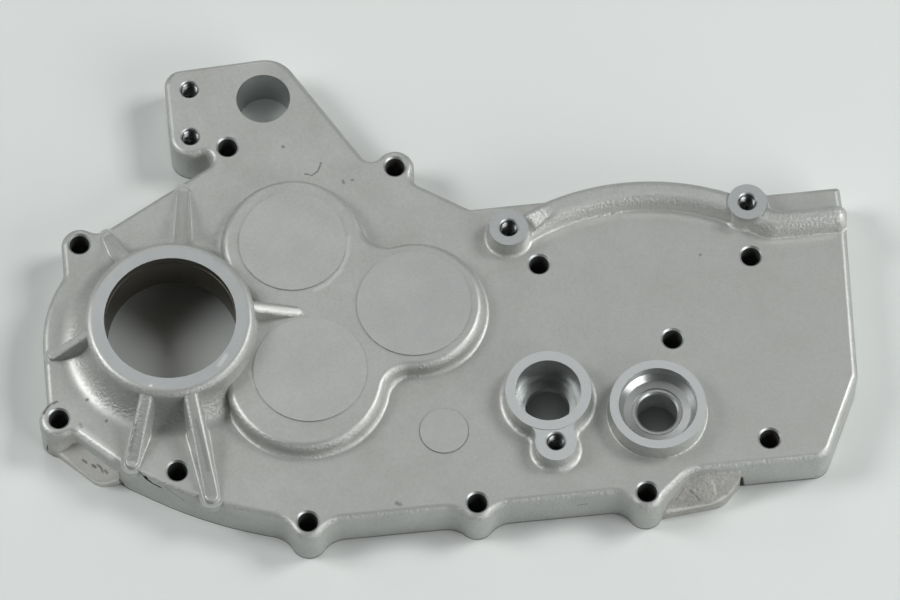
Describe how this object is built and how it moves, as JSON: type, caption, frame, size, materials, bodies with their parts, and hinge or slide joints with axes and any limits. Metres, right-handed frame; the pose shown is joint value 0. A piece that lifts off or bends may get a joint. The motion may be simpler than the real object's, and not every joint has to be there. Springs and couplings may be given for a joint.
{
  "type": "transmission cover",
  "caption": "Cast aluminium side cover of a transmission, with a large bored ring, ribs, round pads, stepped shaft bosses and bolt holes along its edge.",
  "frame": {"origin": "middle of the cover's footprint, in the plane of the machined face that meets the housing", "axes": "+Z away from the gears, out of the main bore's mouth; +X along the long lower edge, from the main bore towards the stepped bosses; +Y towards the lobe with the upper bore"},
  "size_m": [0.3706, 0.2414, 0.044],
  "materials": {
    "cast_aluminium": "as-cast satin skin with machined faces and bores"
  },
  "bodies": {
    "root": {"cover": "cast_aluminium"}
  },
  "joints": []
}
